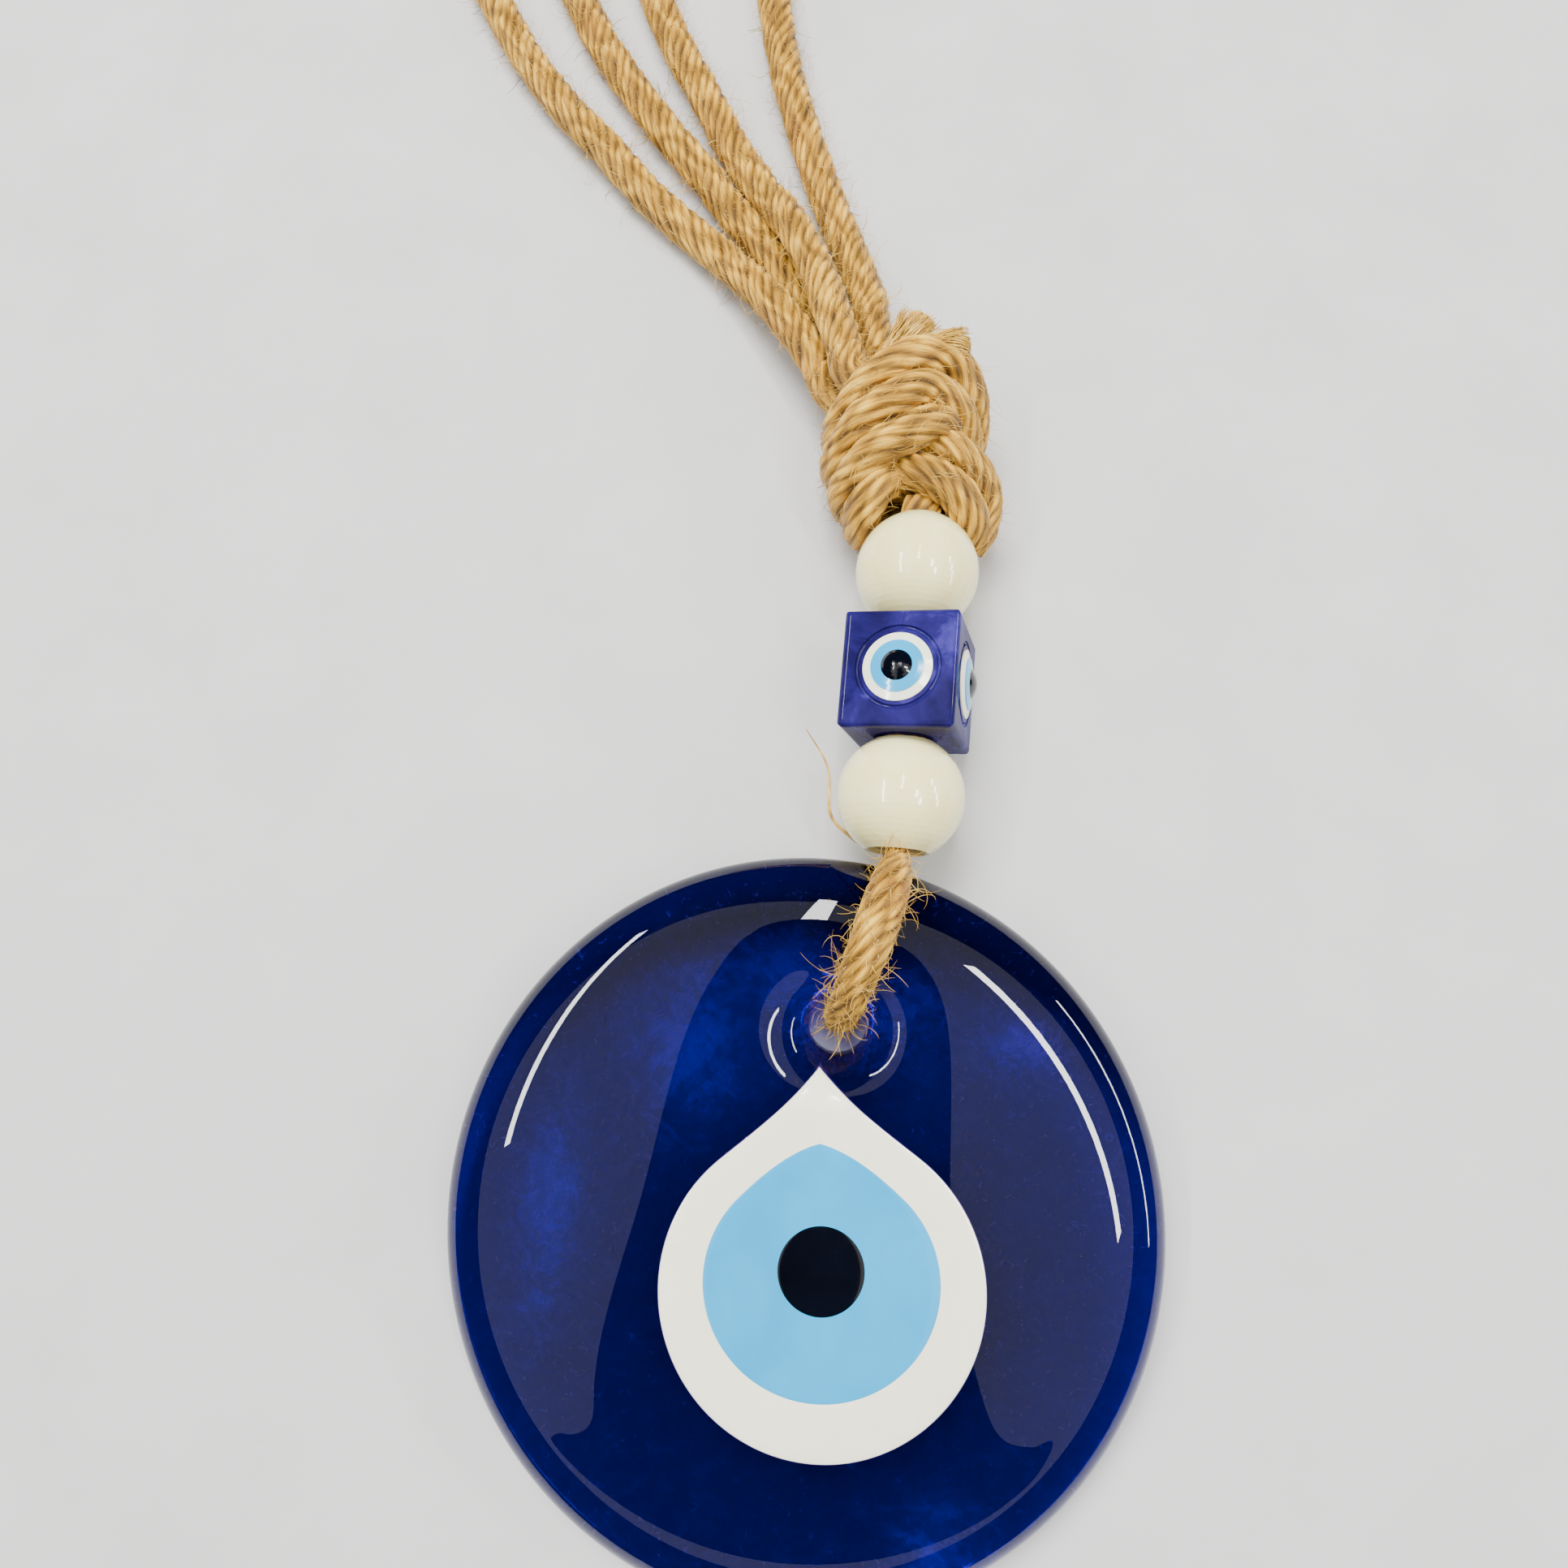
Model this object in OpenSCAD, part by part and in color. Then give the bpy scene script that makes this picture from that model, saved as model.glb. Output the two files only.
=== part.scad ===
// Evil eye ornament: a glass disc with a fused teardrop eye, hung on a jute rope
// through two white beads and an eye cube. It lies on its back on a flat surface
// at z = 0, with the hanging loops towards +Y.

/* [Glass disc] */
// Diameter of the glass disc
disc_d = 110; // [106:1:112]
// Thickness of the glass at its middle
disc_t = 10.6; // [10.2:0.2:11.4]
// Width of the rounded front shoulder
shoulder_w = 9.5; // [7:0.5:11]
// Diameter of the hole for the rope
hole_d = 9; // [8.6:0.1:9.4]
// Lean of the disc where the rope under it holds its top edge up, in degrees
disc_lean = 4.5; // [4.3:0.1:4.8]
// Turn of the disc about the hole against the rope, in degrees
disc_turn = 5.5; // [3:0.5:7]

/* [Fused eye] */
// Radius of the round part of the white teardrop
white_r = 24.2; // [22:0.1:26]
// Height of the white teardrop's tip above its round centre
white_tip = 32.2; // [30:0.1:33.5]
// Radius of the round part of the light blue teardrop
blue_r = 17.3; // [15:0.1:18]
// Height of the light blue teardrop's tip above its round centre
blue_tip = 19.9; // [19:0.1:22]
// Diameter of the dark pupil
pupil_d = 12.9; // [9:0.1:16]

/* [Beads] */
// Diameter of each white bead
bead_d = 20.7; // [20:0.1:21]
// Length of each white bead between its lips
bead_len = 18; // [17:0.1:18.1]
// Diameter of the bore through the beads and the cube
bore_d = 9; // [8.9:0.1:9.2]

/* [Eye cube] */
// Width of the cube across its flats
cube_w = 18.7; // [18:0.1:19]
// Length of the cube along the rope
cube_len = 19.4; // [18:0.1:19.6]
// Rounding of the cube's edges
cube_edge = 1.1; // [0.6:0.1:1.6]
// Roll of the cube about the rope towards -X, in degrees
cube_roll = 15.5; // [-25:0.5:25]
// Diameter of the white ring of each small eye
ring_d = 11.2; // [10:0.1:12]
// Diameter of the light blue dot of each small eye
iris_d = 8.5; // [7:0.1:9]
// Diameter of the dark pupil of each small eye
dot_d = 5; // [3.5:0.1:5.5]

/* [Rope] */
// Diameter of the jute rope
rope_d = 6.8; // [6.2:0.1:6.8]

/* [Hidden] */
$fn = 96;

// Colours
glass_blue = "#0a1a8c";
opal_white = "#f2f0e2";
sky_blue = "#69cdea";
near_black = "#070b18";
cube_blue = "#1b2f9e";
jute = "#c99a57";

// Glass disc
disc_y = -29.4;
disc_r = disc_d / 2;
back_edge = 3; // rounding where the back meets the rim
shoulder_h = 9.8; // height at which the shoulder meets the crowned front
back_flat_r = disc_r - back_edge;
crown_r = disc_r - shoulder_w;
hole_at = [6, 29.7];
hole_back_round = 1.2;
flare_w = 5; // the hole's mouth widens by this much on the front
flare_from = 4; // height at which it starts to widen
flare_rise = 5.2;
dish_at = [4.2, 29.5];
dish_r = 14;
dish_floor = 8.9;
dish_rise = 1.5;
above_front = disc_t + 1; // past the front, to cut through it
eye_at = [3, -8.1];
white_floor = 8.4;
white_top = 10.9;
white_bevel_h = 0.3;
white_bevel_w = 0.4;
blue_up = 0.9; // the blue teardrop and the pupil sit above the white one's middle
pupil_up = 3;
blue_floor = 9.2;
blue_top = 11.05;
pupil_floor = 9.9;
pupil_top = 11.2;

// Bead line, parallel to Y
line_x = 10.2;
line_z = 11.7;
lower_y = 37;
cube_y = 56;
upper_y = 75.6;
bead_r = bead_d / 2;
bore_r = bore_d / 2;
lip_r = 0.7;

// Small eyes: heights are measured from the cube's face
socket_depth = 1.4;
ring_edge = 0.25;
ring_rise = 0.7;
ring_top = 1;
iris_rise = 1;
iris_top = 1.2;
dot_rise = 1.9;
iris_floor = -0.7;
dot_floor = -0.2;
above_eye = 4; // height of the cutters that make room for the inner layers
groove_r = 6.6; // the pressed groove round each eye, and its half width
groove_w = 0.4;

// Rope: the two passes inside the beads are pressed flat against each other
rope_r = rope_d / 2;
core_r = bore_r - 0.3;
core_gap = 0.2;
core_from = 29;
core_to = 87.1;
rope_sides = 10;
loop_steps = 2; // rings between two points of a route
end_steps = 3;
loose_end_r = 0.8 * rope_r;

// Rope routes: points on the centre line as x, y, z and the rope's radius there
sling_route = [
    [10.2, 27.6, 13.8, 2], [10.1, 26.1, 14.9, 2.2], [9.8, 24.5, 17.4, 2.65],
    [9.2, 22.1, 20, 3.15], [8.4, 19, 21.6, 3.35], [7.5, 15.6, 22.1, 3.4],
    [6.6, 12.3, 22.3, 3.3], [5.7, 9.4, 21.5, 3.15], [4.9, 6.6, 19.5, 3],
    [4.3, 4.1, 16.6, 2.8], [3.7, 2.4, 13.4, 2.65], [3.4, 1.6, 10.8, 2.6],
    [3.3, 1.5, 8.4, 2.6], [3.4, 1.8, 6.2, 2.7], [3.7, 3, 4.4, 2.85],
    [4.2, 5, 3.4, 3], [5, 8.4, 3.2, 3.1], [6.2, 12.6, 3.2, 3.15],
    [7.6, 17.2, 3.25, 3.2], [8.8, 21.2, 3.7, 3.15], [9.6, 24.2, 5.5, 2.7],
    [10.1, 26.1, 8.3, 2.2], [10.2, 27.6, 9.6, 2]];
outer_route = [
    [-8.6, 113.2, 8], [-11.8, 118.1, 8.5], [-18, 126.1, 7.6], [-25, 134.1, 5.2],
    [-35, 143.1, 3.4], [-46, 152.1, 3.4], [-54.5, 161.1, 3.4], [-64.5, 170.6, 3.4],
    [-74.5, 182.6, 3.4], [-82.5, 195.1, 3.4], [-89, 206.6, 3.4], [-93, 218.6, 3.4],
    [-92, 230.1, 3.4], [-86, 239.6, 3.4], [-76, 245.6, 3.4], [-64, 247.1, 3.4],
    [-51, 243.6, 3.4], [-40, 235.6, 3.4], [-32.5, 224.6, 3.4], [-28.5, 211.6, 3.4],
    [-26, 198.1, 3.4], [-23.5, 187.1, 3.4], [-20, 175.6, 3.4], [-16.2, 165.1, 3.4],
    [-11.7, 154.1, 3.4], [-8, 145.6, 3.7], [-4.2, 136.6, 5.4], [-1.6, 128.6, 7.3],
    [-0.6, 122.1, 8.6], [0.6, 116.8, 9.2]];
inner_route = [
    [-3.4, 115.2, 3.6], [-8, 121.8, 3.4], [-14.6, 132.3, 3.4], [-23, 142.9, 3.4],
    [-28.6, 148.6, 3.4], [-34.5, 155.9, 3.4], [-42, 164.1, 3.4], [-50, 173.6, 3.4],
    [-59, 185.6, 3.4], [-65, 196.1, 3.4], [-70.5, 206.6, 3.4], [-75, 217.1, 3.4],
    [-75.5, 225.1, 3.4], [-70.5, 230.6, 3.4], [-63, 230.1, 3.4], [-57.5, 224.6, 3.4],
    [-55.5, 216.6, 3.4], [-53, 207.1, 3.4], [-49.3, 196.6, 3.4], [-43, 184.3, 3.4],
    [-37, 174.6, 3.4], [-31, 164.1, 3.4], [-24, 153.6, 4.8], [-17.5, 143.6, 8.7],
    [-12.2, 133.6, 10.6], [-8.7, 124.6, 12.4], [-6.3, 118.1, 13.6], [-5, 114, 14]];
end_a_route = [[3.2, 110.1, 14.5], [5.4, 115.2, 15.2], [7.8, 120.4, 15.4]];
end_b_route = [[7.4, 110.6, 18.4], [11.4, 112.8, 18.8], [15.6, 113.6, 18.4]];

// Knot: passes of rope seen from its middle, and the rope's radius in them
knot_middle = [8, 99.6, 11];
knot_rope_r = 3.4;
knot_rows = 26;
knot_turns = 44;
knot_steps = 4;
knot_floor = 0.1; // height of its flattened underside
bead_keep = bead_r + 0.4; // how far the knot stays from the upper bead's middle
beyond = 1000; // further than anything in the part
knot_passes = [
    [[-5, 101.6, 6], [-4.6, 101.1, 12], [-0.5, 106.1, 17.5], [6, 110.2, 19.6],
        [12.5, 111.4, 18], [16.8, 107.6, 13.5], [17.4, 102.1, 7], [10, 100.6, 3.6]],
    [[-3.6, 95.1, 5], [-4.6, 95.2, 11], [-1.2, 99.2, 17.2], [4.4, 102.6, 20],
        [9.6, 104.8, 19.6], [14.6, 102.8, 16.4], [17, 98.1, 10]],
    [[-1.5, 88.6, 6], [-3, 89.6, 11], [0.6, 93.2, 17], [6, 96.4, 19.4],
        [11, 99.2, 18.8], [14, 100.1, 14]],
    [[9, 98.2, 14], [13.6, 96, 16.6], [18, 93.4, 14.8], [20.6, 90.2, 11],
        [20.4, 86.2, 8], [19, 84.2, 5.6]],
    [[5.6, 92.6, 14], [10, 91.2, 16.6], [14.4, 89, 16.6], [18, 86, 13.6],
        [19, 84, 9]],
    [[4.6, 92, 14], [2.4, 89, 15.4], [0.4, 85.8, 13.2], [0.2, 84, 9.6],
        [1, 84.2, 6]],
    [[-5, 100.6, 7], [0, 105.1, 3.8], [8, 107.6, 3.6], [14, 104.6, 5.4], [17, 99.6, 9]],
    [[-3, 91.6, 6], [3, 95.1, 3.6], [11, 96.6, 3.6], [18, 91.6, 6.4]],
    [[1, 86.6, 6], [6, 89.6, 3.6], [13, 89.6, 3.6], [18.4, 86.6, 6.4]],
    [[2, 101.6, 11], [8, 101.6, 11], [14, 101.6, 11]],
    [[3, 92.6, 11], [10.2, 91.6, 11.5], [16, 92.6, 11]],
    [[2, 107, 11], [-3, 108.6, 9], [-6.7, 110, 8]],
    [[2, 107, 12], [-1.5, 109, 14], [-3.9, 110.5, 14.2]],
    [[3, 109, 11], [2.4, 111.4, 10], [1.4, 113.2, 9.6]],
    [[3, 108, 8], [0.6, 110.6, 5], [-1.3, 112.2, 3.8]]];

// Smooth curve through points, with steps rings between each two
function curve_at(a, b, c, d, t) =
    0.5 * (2 * b + (c - a) * t + (2 * a - 5 * b + 4 * c - d) * t * t
        + (3 * b - a - 3 * c + d) * t * t * t);
function smooth(p, steps) = [
    for (i = [0 : len(p) - 2], k = [0 : steps - 1])
        curve_at(p[max(i - 1, 0)], p[i], p[i + 1], p[min(i + 2, len(p) - 1)], k / steps),
    p[len(p) - 1]];
function unit(v) = v / norm(v);
function xyz(p) = [p.x, p.y, p.z];

// Closed tube of round rings along points; across is never along the route
module tube(route, steps, radius, across) {
    line = smooth(route, steps);
    n = len(line);
    rings = [
        for (i = [0 : n - 1])
            let (
                along = unit(xyz(line[min(i + 1, n - 1)]) - xyz(line[max(i - 1, 0)])),
                side = unit(cross(along, across)),
                up = cross(side, along),
                r = is_undef(line[i][3]) ? radius : line[i][3])
            for (k = [0 : rope_sides - 1])
                let (a = 360 * k / rope_sides)
                xyz(line[i]) + r * (cos(a) * side + sin(a) * up)];
    walls = [
        for (i = [0 : n - 2], k = [0 : rope_sides - 1])
            let (next = (k + 1) % rope_sides)
            each [
                [i * rope_sides + k, i * rope_sides + next, (i + 1) * rope_sides + k],
                [i * rope_sides + next, (i + 1) * rope_sides + next, (i + 1) * rope_sides + k]]];
    first = [for (k = [rope_sides - 1 : -1 : 0]) k];
    last = [for (k = [0 : rope_sides - 1]) (n - 1) * rope_sides + k];
    polyhedron(rings, concat(walls, [first, last]), convexity = 6);
}

// Placement of the disc: it leans on its bottom edge and is turned about its middle
module on_disc() {
    translate([0, disc_y - back_flat_r, 0.01])
        rotate([disc_lean, 0, 0])
            translate([0, back_flat_r, 0])
                rotate([0, 0, disc_turn])
                    children();
}

// Placement on the bead line, with the part's own Z along +Y
module on_line(y) {
    translate([line_x, y, line_z])
        rotate([-90, 0, 0])
            children();
}

// Half outline of the disc, from its middle to its rim
function disc_outline() = concat(
    [[0, 0]],
    [for (a = [-90 : 15 : 0]) [back_flat_r + back_edge * cos(a), back_edge + back_edge * sin(a)]],
    [for (a = [9 : 9 : 90])
        [crown_r + shoulder_w * cos(a), back_edge + (shoulder_h - back_edge) * sin(a)]],
    [for (r = [36, 27, 18, 9, 0]) [r, disc_t - (disc_t - shoulder_h) * pow(r / crown_r, 2)]]);

// Half outline of what the hole and its flared mouth take away
function funnel_outline() = concat(
    [[0, -1], [hole_d / 2 + hole_back_round, -1]],
    [for (a = [0 : 30 : 90])
        [hole_d / 2 + hole_back_round * (1 - sin(a)), hole_back_round * (1 - cos(a))]],
    [for (t = [0 : 0.125 : 1]) [hole_d / 2 + flare_w * pow(t, 2), flare_from + flare_rise * t]],
    [[hole_d / 2 + flare_w, above_front], [0, above_front]]);

// Half outline of the shallow dish round the hole
function dish_outline() = concat(
    [[0, dish_floor]],
    [for (t = [0.25 : 0.125 : 1]) [dish_r * t, dish_floor + dish_rise * pow(t, 2)]],
    [[dish_r, above_front], [0, above_front]]);

// Teardrop outline: an arc below and two flanks that meet at the tip
function flank(p, q, u, v) = [
    for (t = [0.1 : 0.1 : 0.9])
        p * pow(1 - t, 3) + (p + u) * 3 * t * pow(1 - t, 2)
            + (q + v) * 3 * pow(t, 2) * (1 - t) + q * pow(t, 3)];
function teardrop_outline(r, tip, open_a, pull, tip_dir) =
    let (
        from = r * [cos(open_a), sin(open_a)],
        right = flank(from, [0, tip], pull * [-sin(open_a), cos(open_a)], tip_dir))
    concat(
        [for (i = [0 : 40]) let (a = 180 - open_a + (180 + 2 * open_a) * i / 40) r * [cos(a), sin(a)]],
        right, [[0, tip]],
        [for (i = [len(right) - 1 : -1 : 0]) [-right[i].x, right[i].y]]);

module white_shape(grow = 0) {
    offset(delta = grow)
        polygon(teardrop_outline(white_r, white_tip, 52, 7, [5, -5.6]));
}

module blue_shape() {
    polygon(teardrop_outline(blue_r, blue_tip, 45, 5, [4.5, -1.2]));
}

module pupil_shape() {
    circle(d = pupil_d);
}

// A layer of the fused eye between two heights
module layer(from, to) {
    translate([eye_at.x, eye_at.y, from])
        linear_extrude(to - from)
            children();
}

module glass_disc() {
    color(glass_blue)
        on_disc()
            difference() {
                rotate_extrude()
                    polygon(disc_outline());
                translate([hole_at.x, hole_at.y, 0])
                    rotate_extrude()
                        polygon(funnel_outline());
                translate([hole_at.x, hole_at.y, -1])
                    cylinder(d = hole_d, h = disc_t);
                translate([dish_at.x, dish_at.y, 0])
                    rotate_extrude()
                        polygon(dish_outline());
                layer(white_floor, above_front)
                    white_shape();
            }
}

module white_drop() {
    color(opal_white)
        on_disc()
            difference() {
                union() {
                    layer(white_floor, white_top - white_bevel_h)
                        white_shape();
                    layer(white_top - white_bevel_h, white_top)
                        white_shape(-white_bevel_w);
                }
                translate([0, blue_up, 0])
                    layer(blue_floor, above_front)
                        blue_shape();
            }
}

module light_blue_drop() {
    color(sky_blue)
        on_disc()
            difference() {
                translate([0, blue_up, 0])
                    layer(blue_floor, blue_top)
                        blue_shape();
                translate([0, pupil_up, 0])
                    layer(pupil_floor, above_front)
                        pupil_shape();
            }
}

module pupil() {
    color(near_black)
        on_disc()
            translate([0, pupil_up, 0])
                layer(pupil_floor, pupil_top)
                    pupil_shape();
}

// Bead: a ball with a bore and a rounded lip at each end
function bead_outline() =
    let (
        half = bead_len / 2,
        crest = bore_r + lip_r,
        meet = acos(half / bead_r))
    concat(
        [for (a = [180 : -30 : 90]) [crest + lip_r * cos(a), lip_r * sin(a) + half - lip_r]],
        [for (a = [90 - meet - 4 : -6 : -(90 - meet - 4)]) bead_r * [cos(a), sin(a)]],
        [for (a = [-90 : -30 : -180]) [crest + lip_r * cos(a), lip_r * sin(a) - half + lip_r]]);

module bead(y) {
    color(opal_white)
        on_line(y)
            rotate_extrude()
                polygon(bead_outline());
}

// A square bar with rounded corners, long enough to cut the cube from
module rounded_bar(a, b) {
    linear_extrude(2 * cube_len, center = true)
        offset(r = cube_edge)
            square([a - 2 * cube_edge, b - 2 * cube_edge], center = true);
}

// Placement of the small eyes: each face of the cube in turn, Z outwards
module on_face(i) {
    on_line(cube_y)
        rotate([0, 0, 90 * i - cube_roll])
            translate([0, -cube_w / 2, 0])
                rotate([90, 0, 0])
                    children();
}

module cube_bead() {
    color(cube_blue)
        difference() {
            on_line(cube_y)
                rotate([0, 0, -cube_roll])
                    intersection() {
                        rounded_bar(cube_w, cube_w);
                        rotate([90, 0, 0])
                            rounded_bar(cube_w, cube_len);
                        rotate([0, 90, 0])
                            rounded_bar(cube_len, cube_w);
                    }
            on_line(cube_y)
                cylinder(r = bore_r, h = 2 * cube_len, center = true);
            for (i = [0 : 3]) {
                on_face(i)
                    translate([0, 0, -socket_depth])
                        cylinder(d = ring_d, h = 2 * socket_depth);
                on_face(i)
                    rotate_extrude()
                        translate([groove_r, 0])
                            circle(r = groove_w, $fn = 24);
            }
        }
}

// Domed disc: flat below, rounded above, with its edge height given
function dome_outline(r, from, edge, top) = concat(
    [[0, from], [r, from]],
    [for (i = [5 : -1 : 0]) let (t = i / 5) [r * t, edge + (top - edge) * (1 - pow(t, 2))]]);

module dome(d, from, edge, top) {
    rotate_extrude()
        polygon(dome_outline(d / 2, from, edge, top));
}

module eye_ring(i) {
    color(opal_white)
        on_face(i)
            difference() {
                dome(ring_d, -socket_depth, ring_edge, ring_top);
                translate([0, 0, iris_floor])
                    cylinder(d = iris_d, h = above_eye);
            }
}

module eye_iris(i) {
    color(sky_blue)
        on_face(i)
            difference() {
                dome(iris_d, iris_floor, ring_rise, iris_top);
                translate([0, 0, dot_floor])
                    cylinder(d = dot_d, h = above_eye);
            }
}

module eye_pupil(i) {
    color(near_black)
        on_face(i)
            dome(dot_d, dot_floor, iris_rise, dot_rise);
}

// One of the two squeezed rope passes: up is +1 for the front one, -1 for the back one
module threaded_cord(up) {
    length = core_to - core_from;
    color(jute)
        translate([line_x, core_from, line_z])
            rotate([-90, 0, 0])
                intersection() {
                    cylinder(r = core_r, h = length);
                    translate([0, -up * (core_gap / 2 + bead_r / 2), length / 2])
                        cube([2 * bead_r, bead_r, 2 * length], center = true);
                }
}

// Knot: the furthest rope surface from its middle in every direction, kept off the
// upper bead and above the surface it lies on
knot_balls = [for (pass = knot_passes) each smooth(pass, knot_steps)];
function leaves_ball(dir, c, r) =
    let (b = dir * c, disc = b * b - c * c + r * r)
    disc < 0 ? 0 : b + sqrt(disc);
function meets_ball(dir, c, r) =
    let (b = dir * c, disc = b * b - c * c + r * r)
    disc < 0 || b < 0 ? beyond : b - sqrt(disc);
function knot_reach(dir) = min(
    max([for (c = knot_balls) leaves_ball(dir, c - knot_middle, knot_rope_r)]),
    dir.z < 0 ? (knot_floor - knot_middle.z) / dir.z : beyond,
    meets_ball(dir, [line_x, upper_y, line_z] - knot_middle, bead_keep));

module knot() {
    dirs = [
        for (i = [1 : knot_rows - 1], k = [0 : knot_turns - 1])
            let (lat = 180 * i / knot_rows, lon = 360 * k / knot_turns)
            [sin(lat) * cos(lon), cos(lat), sin(lat) * sin(lon)]];
    points = concat(
        [for (d = dirs) knot_middle + knot_reach(d) * d],
        [knot_middle + knot_reach([0, 1, 0]) * [0, 1, 0],
         knot_middle + knot_reach([0, -1, 0]) * [0, -1, 0]]);
    top = len(points) - 2;
    bottom = len(points) - 1;
    faces = [
        for (i = [0 : knot_rows - 3], k = [0 : knot_turns - 1])
            let (next = (k + 1) % knot_turns, a = i * knot_turns, b = (i + 1) * knot_turns)
            each [[a + k, b + k, a + next], [a + next, b + k, b + next]]];
    caps = [
        for (k = [0 : knot_turns - 1])
            let (next = (k + 1) % knot_turns, b = (knot_rows - 2) * knot_turns)
            each [[top, k, next], [bottom, b + next, b + k]]];
    color(jute)
        polyhedron(points, concat(faces, caps), convexity = 8);
}

module cut_end_a() {
    color(jute)
        tube(end_a_route, end_steps, rope_r, [0, 0, 1]);
}

module cut_end_b() {
    color(jute)
        tube(end_b_route, end_steps, loose_end_r, [0, 0, 1]);
}

module outer_loop() {
    color(jute)
        tube(outer_route, loop_steps, rope_r, [0, 0, 1]);
}

module inner_loop() {
    color(jute)
        tube(inner_route, loop_steps, rope_r, [0, 0, 1]);
}

module sling() {
    color(jute)
        tube(sling_route, loop_steps, rope_r, [1, 0, 0]);
}

glass_disc();
white_drop();
light_blue_drop();
pupil();
bead(lower_y);  // lower_bead
cube_bead();
bead(upper_y);  // upper_bead
eye_ring(0);  // eye_ring_1
eye_ring(1);  // eye_ring_2
eye_ring(2);  // eye_ring_3
eye_ring(3);  // eye_ring_4
eye_iris(0);  // eye_iris_1
eye_iris(1);  // eye_iris_2
eye_iris(2);  // eye_iris_3
eye_iris(3);  // eye_iris_4
eye_pupil(0);  // eye_pupil_1
eye_pupil(1);  // eye_pupil_2
eye_pupil(2);  // eye_pupil_3
eye_pupil(3);  // eye_pupil_4
knot();
cut_end_a();
cut_end_b();
threaded_cord(1);  // threaded_cord_front
threaded_cord(-1);  // threaded_cord_back
outer_loop();
inner_loop();
sling();
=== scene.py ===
import math

import bpy
import numpy as np
from mathutils import Matrix, Vector


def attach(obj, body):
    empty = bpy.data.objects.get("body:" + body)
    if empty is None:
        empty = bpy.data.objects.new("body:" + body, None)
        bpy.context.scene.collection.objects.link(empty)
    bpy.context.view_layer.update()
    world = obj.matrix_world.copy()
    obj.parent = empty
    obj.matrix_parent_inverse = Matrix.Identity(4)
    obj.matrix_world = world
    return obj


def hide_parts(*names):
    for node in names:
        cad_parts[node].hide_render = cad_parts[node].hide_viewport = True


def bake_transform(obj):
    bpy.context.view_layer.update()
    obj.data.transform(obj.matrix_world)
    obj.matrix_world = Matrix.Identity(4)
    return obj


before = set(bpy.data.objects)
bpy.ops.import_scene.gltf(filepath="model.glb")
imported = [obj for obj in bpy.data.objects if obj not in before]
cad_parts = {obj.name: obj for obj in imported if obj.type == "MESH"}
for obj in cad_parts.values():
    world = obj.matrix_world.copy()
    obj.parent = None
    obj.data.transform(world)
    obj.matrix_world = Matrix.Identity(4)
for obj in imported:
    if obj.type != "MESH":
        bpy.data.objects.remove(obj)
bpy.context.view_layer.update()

MM = 0.001
TAU = 2 * math.pi

# Lengths are in mm, but for the camera, the materials and the lights, which are in metres.
ROPE_R = 3.4
ROPE_LAY = 25
PLIES, YARNS = 3, 9
ABOVE_TABLE = 0.03

# ---------------------------------------------------------------- camera


def add_camera():
    """The camera stands over the disc, tipped a little towards the beads."""
    data = bpy.data.cameras.new("camera")
    data.lens = 24.2
    camera = bpy.data.objects.new("camera", data)
    bpy.context.scene.collection.objects.link(camera)
    turn = (
        Matrix.Rotation(math.radians(3.0), 4, "Y")
        @ Matrix.Rotation(math.radians(10.9), 4, "X")
        @ Matrix.Rotation(math.radians(5.4), 4, "Z")
    )
    camera.matrix_world = Matrix.Translation((0, 0.005, 0.1802)) @ turn
    bpy.context.scene.camera = camera


add_camera()

# ---------------------------------------------------------------- rope routes

# Points on the centre line as x, y, z and the rope's radius there where it changes.
SLING = [
    (10.2, 27.6, 13.8, 2), (10.1, 26.1, 14.9, 2.2), (9.8, 24.5, 17.4, 2.65),
    (9.2, 22.1, 20, 3.15), (8.4, 19, 21.6, 3.35), (7.5, 15.6, 22.1, 3.4),
    (6.6, 12.3, 22.3, 3.3), (5.7, 9.4, 21.5, 3.15), (4.9, 6.6, 19.5, 3),
    (4.3, 4.1, 16.6, 2.8), (3.7, 2.4, 13.4, 2.65), (3.4, 1.6, 10.8, 2.6),
    (3.3, 1.5, 8.4, 2.6), (3.4, 1.8, 6.2, 2.7), (3.7, 3, 4.4, 2.85),
    (4.2, 5, 3.4, 3), (5, 8.4, 3.2, 3.1), (6.2, 12.6, 3.2, 3.15),
    (7.6, 17.2, 3.25, 3.2), (8.8, 21.2, 3.7, 3.15), (9.6, 24.2, 5.5, 2.7),
    (10.1, 26.1, 8.3, 2.2), (10.2, 27.6, 9.6, 2),
]
OUTER_LOOP = [
    (-8.6, 113.2, 8), (-11.8, 118.1, 8.5), (-18, 126.1, 7.6), (-25, 134.1, 5.2),
    (-35, 143.1, 3.4), (-46, 152.1, 3.4), (-54.5, 161.1, 3.4), (-64.5, 170.6, 3.4),
    (-74.5, 182.6, 3.4), (-82.5, 195.1, 3.4), (-89, 206.6, 3.4), (-93, 218.6, 3.4),
    (-92, 230.1, 3.4), (-86, 239.6, 3.4), (-76, 245.6, 3.4), (-64, 247.1, 3.4),
    (-51, 243.6, 3.4), (-40, 235.6, 3.4), (-32.5, 224.6, 3.4), (-28.5, 211.6, 3.4),
    (-26, 198.1, 3.4), (-23.5, 187.1, 3.4), (-20, 175.6, 3.4), (-16.2, 165.1, 3.4),
    (-11.7, 154.1, 3.4), (-8, 145.6, 3.7), (-4.2, 136.6, 5.4), (-1.6, 128.6, 7.3),
    (-0.6, 122.1, 8.6), (0.6, 116.8, 9.2),
]
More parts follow.
